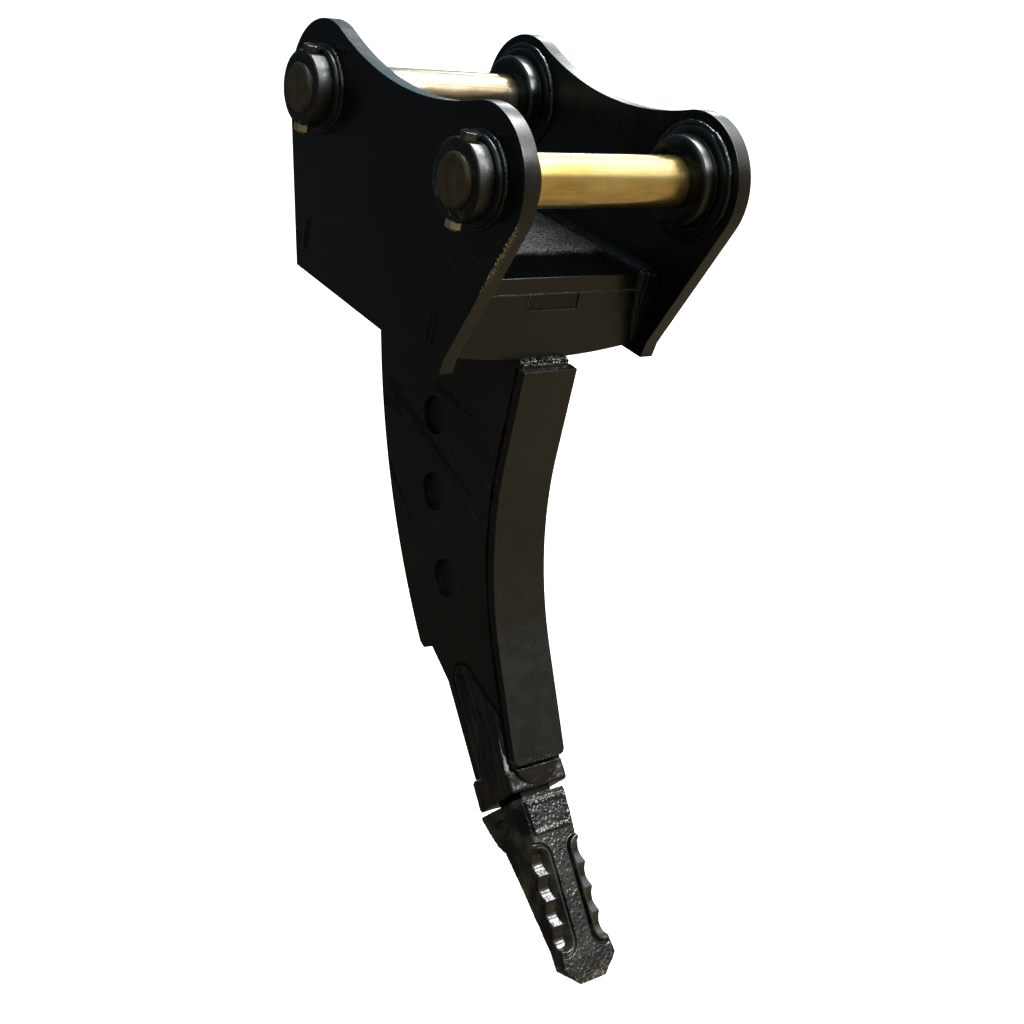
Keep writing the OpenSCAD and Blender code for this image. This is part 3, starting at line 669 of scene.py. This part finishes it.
def adapter_leg(way):
    """Leg: sections across it run from the shank's side to a crowned face with a long hollow and a
    shallow one before it. The face falls to the edges by a rounded shoulder, which turns into a
    flat chamfer low on the front edge."""
    s = np.concatenate([LEG_TOP + LEG_R*(1 - np.cos(np.linspace(0.02, np.pi/2, 26))),
                        np.linspace(LEG_TOP + LEG_R, BODY_TOP + 12, 90)[1:]])[:, None]
    front, back = leg_edges(s)
    n = front + (back - front)*np.linspace(0, 1, 72)
    edge = np.minimum(n - front, back - n)
    thick = LEG_TOP_HALF - SHANK_HALF + (ADAPTER_HALF - LEG_TOP_HALF)*(s - LEG_TOP)/(BODY_TOP - LEG_TOP)
    crown = np.sqrt(smooth(edge, -0.5, 13.0))
    line = np.interp(s, [-225, -166, -86], [66.0, 62.0, 48.0])
    hollow = np.exp(-((n - line)/9.0)**2)*smooth(s, -244, -226)*(1 - smooth(s, -130, -62))
    ahead = np.exp(-((n - line + 26)/7.0)**2)*smooth(s, -185, -150)*(1 - smooth(s, -110, -62))
    square = np.sqrt(smooth(n - front, -0.5, 3.0))
    crown = crown + (square - crown)*smooth(s, -125, -100)*(n - front < 30)
    face = SHANK_HALF + thick*crown - np.minimum(7.0*hollow + 3.0*ahead, 0.9*thick*crown)
    chamfer = SHANK_HALF + thick - CHAMFER*smooth(s, CHAMFER_TOP, CHAMFER_FULL) + 0.85*(n - front)
    face = np.where(s > CHAMFER_TOP, np.minimum(face, np.maximum(chamfer, SHANK_HALF + 1)), face)
    outer = on_tooth(way*face, n, s)
    inner = on_tooth(np.full_like(n, way*(SHANK_HALF - 1.0)), n, s)[:, ::-1]
    return skin("leg", np.concatenate([outer, inner], axis=1))


def adapter_nose():
    """Nose: square sections that narrow from the body into the tooth."""
    across, deep = square_loop(20, 20, 20)
    row = np.linspace(0, 1, 12)[:, None]
    half = NOSE_HALF - 8*row
    front, back = 18 + 10*row, 106 - 44*row
    x, n = rounded(across*half, front + deep*(back - front), half, front, back, NOSE_CORNER)
    return skin("nose", on_tooth(x, n, NOSE_TOP + NOSE_L*row))


def cast_enamel(name, film, pitted=0.22, gloss=0.55, bare=None, gritty=False, glint=None):
    """Thick gloss black paint on a rough casting: pitted bump at two scales, dust in the clouds,
    bare, a height in metres below which the paint is scraped off, gritty where the mesh's own
    share of grit scales the bump, and glint a pale streak painted on the left side as a
    highlight, where the side is also drawn over with tan streaks."""
    material, add, join = finish_of(name)
    place = add("TexCoord").outputs["Object"]
    clouds = grain(add, place, 22, 4.0, 0.45, 0.70)
    colour = blended(add, product(add, clouds, film), CAST_BLACK, CAST_DUST)
    roughness = spread(add, grain(add, place, 60, 3.0), 0.08, 0.18)
    if bare:
        low = share_of(add, part_of(add, place, "Z"), bare + 0.03, bare)
        worn = product(add, low, grain(add, place, 190, 5.0, 0.50, 0.62))
        colour = blended(add, worn, colour, WORN_IRON)
    if glint:
        left = share_of(add, part_of(add, place, "X"), *LEFT_LEG)
        drawn = spread(add, scratches(add, place, math.pi/2 - TILT, 0.07, 0.50, 110), 0.0, 0.6)
        colour = blended(add, product(add, left, drawn), colour, TAN)
        # Painted highlight: a pale streak down the left leg's front edge.
        colour = blended(add, product(add, left, streaks(add, place, *glint)), colour, PAINTED_GLINT)
    pit, swell = grain(add, place, 420, 4.0, 0.3, 0.7), grain(add, place, 70, 3.0, 0.25, 0.75)
    if gritty:
        share = add("Attribute", attribute_name="grit").outputs["Fac"]
        pit, swell = product(add, pit, share), product(add, swell, share)
    pits = add("Bump", {"Height": pit, "Strength": pitted, "Distance": 0.0014})
    swells = add("Bump", {"Height": swell, "Strength": 0.18, "Distance": 0.003, "Normal": pits.outputs[0]})
    join(Base_Color=colour, Roughness=roughness, Normal=swells.outputs[0], Specular_IOR_Level=gloss)
    return material


adapter_paint = cast_enamel("adapter_paint", film=0.1, gloss=0.45, glint=LEG_GLINT)
adapter = roughened(shells("adapter_casting", [adapter_body(), adapter_leg(-1), adapter_leg(1)]),
                    [(18, 0.7), (7, 0.4), (4, 0.2)])
fitted(adapter, adapter_paint, "cast_paint", "adapter", crease=60)
nose_enamel = enamel("nose_enamel", film=0.0, rough=(0.5, 0.6), gloss=0.2)
fitted(shells("adapter_nose", [adapter_nose()]), nose_enamel, "cast_paint")

# Welds of the adapter: hollow-faced beads laid all round both legs, which join them to the
# shank's sides and stay dark and dull under the paint.
leg_beads = []
for way in SIDES.values():
    climb = np.concatenate([np.linspace(BODY_TOP + 2, LEG_TOP + LEG_R, 90),
                            LEG_TOP + LEG_R*(1 - np.sin(np.linspace(0, np.pi/2, 24)))[1:]])
    front, back = leg_edges(climb)
    n = np.concatenate([front, back[::-1][1:]])
    s = np.concatenate([climb, climb[::-1][1:]])
    path = on_tooth(way*SHANK_HALF, n, s)
    along = np.gradient(path, axis=0)
    along /= np.linalg.norm(along, axis=1, keepdims=True)
    away = np.cross(along, -ACROSS)
    leg_beads.append(bead(path, away, way*ACROSS, 4.0, bulge=-0.08, ripple=0.02, uneven=0.35, seed=31 + way))
leg_weld = enamel("leg_weld", film=0.0, rough=(0.45, 0.6), gloss=0.12)
fitted(shells("leg_welds", leg_beads), leg_weld, "black_paint")

# Tooth: a cast ripping point. Its face has a rough raised pad, a spine between two ridged
# pockets, and four deep scallops in each flank, and its tip is worn and scraped.
TOOTH_HALF, TOOTH_L, TOOTH_D = 56.0, 326.0, 131.0
PAD_HALF, PAD_TOP, PAD_END, PAD_RISE = 44.0, 9.0, 68.0, 5.0
SPINE_HALF, RIDGE_W, RIDGE_RISE, GROOVE_DEEP = 20.0, 7.0, 4.5, 4.8
POCKET_TOP, POCKET_END, POCKET_R = 92.0, 264.0, 15.0
SCALLOPS, SCALLOP_T, SCALLOP_LEAN, SCALLOP_DEEP = 4, 11.0, 0.22, 0.52
PIN_N, PIN_S, PIN_R = 70.0, 43.0, 13.0
BEVEL_X, BEVEL_N = 10.0, 17.0
SOCKET_HALF, SOCKET_FRONT, SOCKET_D, SOCKET_L = 34.5, 17.5, 89, 104.5
RIM_SLOPE = 0.124
BARE_BELOW = -1.317


def pocket_edge(x, s):
    """Distance outwards from the rim of the nearer flank's pocket, a slot open to the side with
    rounded inner corners."""
    across = SPINE_HALF + RIDGE_W + POCKET_R - np.abs(x)
    down = np.abs(s - (POCKET_TOP + POCKET_END)/2) - ((POCKET_END - POCKET_TOP)/2 - POCKET_R)
    outside = np.hypot(np.maximum(across, 0), np.maximum(down, 0))
    return outside + np.minimum(np.maximum(across, down), 0) - POCKET_R


def tooth_face(x, s):
    """Height field of the face, back from its plane: pad, pockets with hooked scallops in their
    floors that lean outwards, a ridge and a groove round each pocket, and the blunted tip."""
    edge = pocket_edge(x, s)
    pitch = (POCKET_END - POCKET_TOP)/SCALLOPS
    along = np.mod(s - POCKET_TOP, pitch)/pitch
    bite = SCALLOP_T*np.where(along < SCALLOP_DEEP, np.sin(np.pi/2*along/SCALLOP_DEEP),
                              np.cos(np.pi/2*(along - SCALLOP_DEEP)/(1 - SCALLOP_DEEP)))
    lean = SCALLOP_LEAN*(np.abs(x) - SPINE_HALF - RIDGE_W)
    pocket = (0.8 + bite + lean)*(1 - smooth(edge, -6.0, 0.5))
    ridge = RIDGE_RISE*np.exp(-((edge - 3.0)/2.9)**2)*(1 - smooth(np.abs(x), 42, 51))
    groove = GROOVE_DEEP*smooth(edge, 5.5, 7.5)*(1 - smooth(edge, 10.5, 13.0))
    groove = groove*(1 - smooth(np.abs(x), 42, 50))
    pad_out = np.maximum(np.abs(x) - (PAD_HALF - 0.06*(s - PAD_TOP)), np.abs(s - (PAD_TOP + PAD_END)/2)
                         - (PAD_END - PAD_TOP)/2)
    on_pad = 1 - smooth(pad_out, -2.5, 1.0)
    points = np.stack(np.broadcast_arrays(x, s, 0*s), -1)
    inside = smooth(-pad_out, 8.0, 10.0)
    bumps = 1.3*lumps(points, 4.2, 3.0) + 0.7*lumps(points, 2.8, 5.0)
    rough_pad = on_pad*(1.8*inside + (1 - 0.65*inside)*bumps)
    tip = 3.5*smooth(s, TOOTH_L - 30, TOOTH_L)
    return pocket - ridge + groove - PAD_RISE*on_pad + rough_pad + tip


def tooth_skin():
    """Sections from the socket's floor out over the rim and down to the tip: across by the width,
    back from the face's height field to the tapering back, and skewed by the sloping rim."""
    across, deep = square_loop(150, 46, 30)
    s = np.concatenate([np.linspace(0, 6, 8)[:-1], np.linspace(6, TOOTH_L - 2, 300)])[:, None]
    half = np.interp(s, [0, 82, POCKET_END, TOOTH_L - 32, TOOTH_L], [TOOTH_HALF, 53.0, 52.0, TOOTH_HALF, 25.0])
    back = np.interp(s, [0, 66, 84, 190, 291, TOOTH_L], [TOOTH_D, 106.0, 88.0, 56.0, 28.0, 10.0])
    half = half - 2.5*(1 - smooth(s, -2.0, 5.0))
    corner = np.minimum(4.0, back/2.2)
    x, n = rounded(across*half, deep*back, half, 0.0, back, corner)
    x = x*(1 - BEVEL_X/half*(1 - smooth(s, 78, 108))*np.maximum(1 - n/BEVEL_N, 0))
    down = s + RIM_SLOPE*n*(1 - smooth(s, 10, 110))
    n = n + tooth_face(x, down)*(1 - n/back)
    hole = np.hypot(n - PIN_N, down - PIN_S)
    x = x - np.sign(x)*6.0*(1 - smooth(hole, PIN_R + 1.0, PIN_R + 3.5))*(np.abs(across) == 1)
    socket_x, socket_n = rounded(across*SOCKET_HALF, SOCKET_FRONT + deep*SOCKET_D, SOCKET_HALF,
                                 SOCKET_FRONT, SOCKET_FRONT + SOCKET_D, NOSE_CORNER)
    rim = on_tooth(socket_x, socket_n, RIM_SLOPE*socket_n)
    floor = on_tooth(socket_x*0.76, 28 + (socket_n - SOCKET_FRONT)*0.38, np.full_like(socket_n, SOCKET_L))
    return skin("tooth_casting", np.concatenate([[floor, rim], on_tooth(x, n, down)]))


def grit(points):
    """Share of casting grit at the points: full on the face and the sides, little in the pockets and
    on their ridges and grooves, and none at the tip."""
    ahead, above = points[:, 1] - POINT_Y, points[:, 2] - POINT_Z
    back = ahead*math.cos(TILT) - above*math.sin(TILT)
    down = -ahead*math.sin(TILT) - above*math.cos(TILT)
    inside = (1 - smooth(pocket_edge(points[:, 0], down), 10, 14))*(1 - smooth(back, 16, 24))
    return (1 - 0.88*inside)*(1 - 0.8*smooth(down, TOOTH_L - 14, TOOTH_L - 3))


tooth_paint = cast_enamel("tooth_paint", film=0.9, pitted=0.16, bare=BARE_BELOW, gritty=True)
tooth = roughened(shells("tooth_cast", [tooth_skin()]), [(16, 0.4), (3.8, 0.55), (2.6, 0.30)], grit)
fitted(tooth, tooth_paint, "cast_paint", "tooth", crease=75)

# Tooth pin: a plain steel bar driven through the tooth's sides and the adapter's nose, which
# holds the tooth on and is painted over with it.
eased("tooth_pin", 1.5, tooth_paint)

# Hitch pins: turned bars, yellow zinc plated, with chamfered and centre-drilled ends. The
# plating is mottled, with fine turning lines round it.
PIN_BARE = 0.2566
PIN_FILM = (0.021, 0.0135, 0.0055, 1)
PIN_END = np.array([(0.05, 259.6), (4.0, 263.5), (4.6, 263.5), (35.4, 263.5), (36.4, 263.2),
                    (39.7, 259.9), (40.0, 259.2)])


def plated(name, gold=(0.62, 0.42, 0.13, 1), pale=(0.68, 0.52, 0.22, 1), rough=(0.16, 0.26), ends=None,
           dirt=(0.36, 0.22, 0.07, 1), worn=(0.72, 0.60, 0.38, 1)):
    """Plated or bare metal: gold with pale clouds, turning lines read along the pin, smears of dirt,
    worn lines, and beyond ends, a distance along the pin in metres, a brown film of thin paint."""
    material, add, join = finish_of(name)
    place = add("TexCoord").outputs["Object"]
    clouds = grain(add, place, 14, 5.0, 0.40, 0.64)

    def pulled(*scale):
        return add("Mapping", {"Vector": place, "Scale": scale}).outputs[0]

    turning = grain(add, pulled(1.0, 0.04, 0.04), 900, 2.0, 0.3, 0.7)
    smears = grain(add, pulled(0.25, 1.0, 1.0), 60, 5.0, 0.42, 0.66)
    rubbed = grain(add, pulled(0.03, 1.0, 1.0), 420, 3.0, 0.54, 0.66)
    colour = blended(add, clouds, gold, pale)
    colour = blended(add, spread(add, smears, 0.0, 0.45), colour, dirt)
    colour = blended(add, spread(add, rubbed, 0.0, 0.35), colour, worn)
    roughness = spread(add, smears, *rough)
    metal = 0.9
    if ends:
        beyond = share_of(add, maths(add, "ABSOLUTE", part_of(add, place, "X")), ends, ends + 0.001)
        film = product(add, beyond, spread(add, grain(add, place, 60, 5.0, 0.35, 0.62), 0.97, 1.0))
        colour = blended(add, film, colour, PIN_FILM)
        roughness = maths(add, "MULTIPLY_ADD", beyond, 0.18, roughness)
        metal = spread(add, beyond, metal, 0.1)
    bump = add("Bump", {"Height": turning, "Strength": 0.08, "Distance": 0.0003})
    join(Base_Color=colour, Metallic=metal, Roughness=roughness, Normal=bump.outputs[0])
    return material


# The rear pin's plating is paler than the front's, and kept darker so that its highlight is not blown out: in
# part painted shade.
pin_platings = {"front": plated("front_plating", ends=PIN_BARE),
                "rear": plated("rear_plating", (0.38, 0.30, 0.21, 1), (0.50, 0.43, 0.35, 1), ends=PIN_BARE)}
for pin in PINS:
    radius = np.concatenate([PIN_END[:, 0], np.full(40, 40.0), PIN_END[::-1, 0]])[:, None]
    reach = np.concatenate([PIN_END[:, 1], np.linspace(255, -255, 40), -PIN_END[::-1, 1]])[:, None]
    angle = np.linspace(0, 2*np.pi, 128, endpoint=False)
    bar = skin("bar", on_pin(pin, reach, radius*np.cos(angle), radius*np.sin(angle)))
    fitted(shells(f"{pin}_pin_bar", [bar]), pin_platings[pin], "zinc", f"{pin}_pin", crease=25)

# Pin collars: turned steel rings over the pins' ends, each with two spot faces where the lock
# bolt's head and nut sit. Their paint is scratched and flecked with pale chips.
COLLAR_FOOT = 229.5
COLLAR = [(BORE_R, 0), (59, 0), (60, 1), (60, 24.0), (59.6, 24.8), (57.8, 26.6), (57.0, 27),
          (42.2, 27), (41.6, 26.8), (BORE_R, 25.5)]
collar_enamel = enamel("collar_enamel", film=0.9, rough=(0.26, 0.50), gloss=0.55, peel=0.3,
                       marks=[(0.9, 0.3, 0.60, (0.06, 0.056, 0.047, 1))], specks=0.6)
for side, way in SIDES.items():
    for pin in PINS:
        node = f"{side}_{pin}_collar"
        collar = shells(node + "_turned", [turned(node, pin, way*COLLAR_FOOT, way, COLLAR, flat=57.0)])
        fitted(collar, collar_enamel, "black_paint", node)

# Lock bolts and nuts: hex bolts of worn dark steel through the collars and pins, with yellow
# zinc nuts underneath.
bolt_steel = plated("bolt_steel", (0.10, 0.097, 0.090, 1), (0.24, 0.235, 0.22, 1), rough=(0.18, 0.30),
                    dirt=(0.05, 0.047, 0.040, 1), worn=(0.34, 0.33, 0.31, 1))
nut_plating = plated("nut_plating", (0.56, 0.46, 0.28, 1), (0.68, 0.62, 0.48, 1), rough=(0.30, 0.45))
eased("collar_bolts", 0.8, bolt_steel)
eased("collar_nuts", 0.9, nut_plating)

# Studio: a pale seamless floor, a soft sky with a brown ground for the paint to mirror, broad
# soft lamps, and the camera at the photograph's place.
FLOOR_Z = -1.3225
AZIMUTH, ELEVATION, ROLL = 0.63584, -0.21763, -0.0019
CAMERA_AT = (-1.3993, -1.6988, -0.0261)
AHEAD_RIGHT = (0.70, -0.70, 0.0)


def backdrop():
    """Floor carried back and up into a wall by a quarter circle, facing the camera."""
    along = np.linspace(-5.0, 5.0, 9)
    bend = np.linspace(0, np.pi/2, 13)
    out = np.concatenate([[-8.0], 5.0 + 2.0*np.sin(bend), [7.0]])
    up = np.concatenate([[0.0], 2.0*(1 - np.cos(bend)), [9.0]])
    x = 2*along[None]*math.cos(AZIMUTH) + out[:, None]*math.sin(AZIMUTH)
    y = -2*along[None]*math.sin(AZIMUTH) + out[:, None]*math.cos(AZIMUTH)
    points = np.stack(np.broadcast_arrays(x, y, FLOOR_Z + up[:, None]), -1)
    index = np.arange(points.shape[0]*points.shape[1]).reshape(points.shape[:2])
    quads = np.stack([index[:-1, :-1], index[:-1, 1:], index[1:, 1:], index[1:, :-1]], -1).reshape(-1, 4)
    mesh = bpy.data.meshes.new("studio_floor")
    mesh.from_pydata(points.reshape(-1, 3).tolist(), [], quads.tolist())
    return mesh


floor_white, _, join = finish_of("floor_white")
join(Base_Color=(0.9, 0.9, 0.9, 1), Roughness=0.9, Emission_Color=(1, 1, 1, 1), Emission_Strength=1.0)
floor = bpy.data.objects.new("studio_floor", backdrop())
floor.data.materials.append(floor_white)
bpy.context.scene.collection.objects.link(floor)
floor.visible_glossy = False
floor.visible_diffuse = False


def lamp(name, at, target, size, power, fills=False):
    """Square soft lamp at a place, turned to its target, that only makes highlights or only fills."""
    light = bpy.data.lights.new(name, "AREA")
    light.shape = "SQUARE"
    light.size = size
    light.energy = power
    holder = bpy.data.objects.new(name, light)
    holder.location = at
    holder.rotation_euler = (Vector(target) - Vector(at)).to_track_quat("-Z", "Y").to_euler()
    holder.visible_diffuse = fills
    holder.visible_glossy = not fills
    bpy.context.scene.collection.objects.link(holder)


lamp("high_panel", (2.5, 2.2, 2.2), (0, 0.2, -0.2), 1.0, 22)
lamp("overhead_panel", (1.4, -0.5, 5.0), (0, 0.0, -1.2), 3.2, 850)
lamp("front_panel", (1.0, -2.4, 1.84), (0, 0.0, -1.2), 1.1, 90)
lamp("left_fill", (-3.0, 0.6, -0.7), (0, 0.1, -0.7), 2.0, 45, fills=True)


def soft_sky():
    """World for the paint to mirror. The sky is palest ahead of the part and bluish behind it, by
    the dot product with the way ahead, and brightest in a belt two thirds of the way up. The
    ground is tan ahead to the right, and to the left it is dim, bluish at the horizon and brown
    below."""
    world = bpy.data.worlds.new("soft_sky")
    world.use_nodes = True
    tree = world.node_tree
    add = nodes_of(tree)
    ray = add("TexCoord").outputs["Generated"]
    height = part_of(add, ray, "Z")

    def ramp(value, low, high, start, end):
        return add("MapRange", {"Value": value, "From Min": low, "From Max": high,
                                "To Min": start, "To Max": end}, interpolation_type="SMOOTHSTEP").outputs[0]

    front = ramp(dot(add, ray, AHEAD_RIGHT), -0.45, 0.50, 0.0, 1.0)
    rise, fall = ramp(height, 0.50, 0.76, 0.0, 2.4), ramp(height, 0.84, 0.97, 0.0, -2.4)
    ahead_right = ramp(dot(add, ray, AHEAD_RIGHT), 0.05, 0.62, 0.0, 1.0)
    belt = maths(add, "MULTIPLY", maths(add, "ADD", rise, fall), ahead_right)
    level_up = maths(add, "ADD", ramp(height, 0.15, 0.42, 0.40, 1.60), belt)
    tint = blended(add, front, (0.75, 1.30, 1.55, 1), (0.95, 1.0, 0.95, 1))
    dimmed = maths(add, "MULTIPLY", level_up, spread(add, front, 0.06, 1.0))
    sky = add("VectorMath", {0: tint, "Scale": dimmed}, operation="SCALE").outputs[0]
    ahead = ramp(dot(add, ray, (0.8, -0.6, 0.0)), -0.3, 0.7, 0.0, 1.0)
    sunk = ramp(height, 0.0, -0.30, 0.0, 1.0)
    near = blended(add, sunk, (0.058, 0.064, 0.072, 1), (0.060, 0.052, 0.040, 1))
    earth = blended(add, ahead, near, (0.44, 0.365, 0.22, 1))
    above = share_of(add, height, -0.02, 0.30)
    tree.links.new(blended(add, above, earth, sky), tree.nodes["Background"].inputs["Color"])
    return world


bpy.context.scene.world = soft_sky()
bpy.context.scene.view_settings.view_transform = "Standard"

lens = bpy.data.cameras.new("photo_camera")
lens.lens = 50.055
lens.sensor_width = 36.0
lens.shift_x = -0.00702
lens.shift_y = 0.00158
lens.clip_end = 100
camera = bpy.data.objects.new("photo_camera", lens)
forward = Vector((math.sin(AZIMUTH)*math.cos(ELEVATION), math.cos(AZIMUTH)*math.cos(ELEVATION),
                  math.sin(ELEVATION)))
right = Vector((math.cos(AZIMUTH), -math.sin(AZIMUTH), 0))
turn = Matrix((right, right.cross(forward), -forward)).transposed() @ Matrix.Rotation(ROLL, 3, "Z")
camera.matrix_world = Matrix.Translation(CAMERA_AT) @ turn.to_4x4()
bpy.context.scene.collection.objects.link(camera)
bpy.context.scene.camera = camera
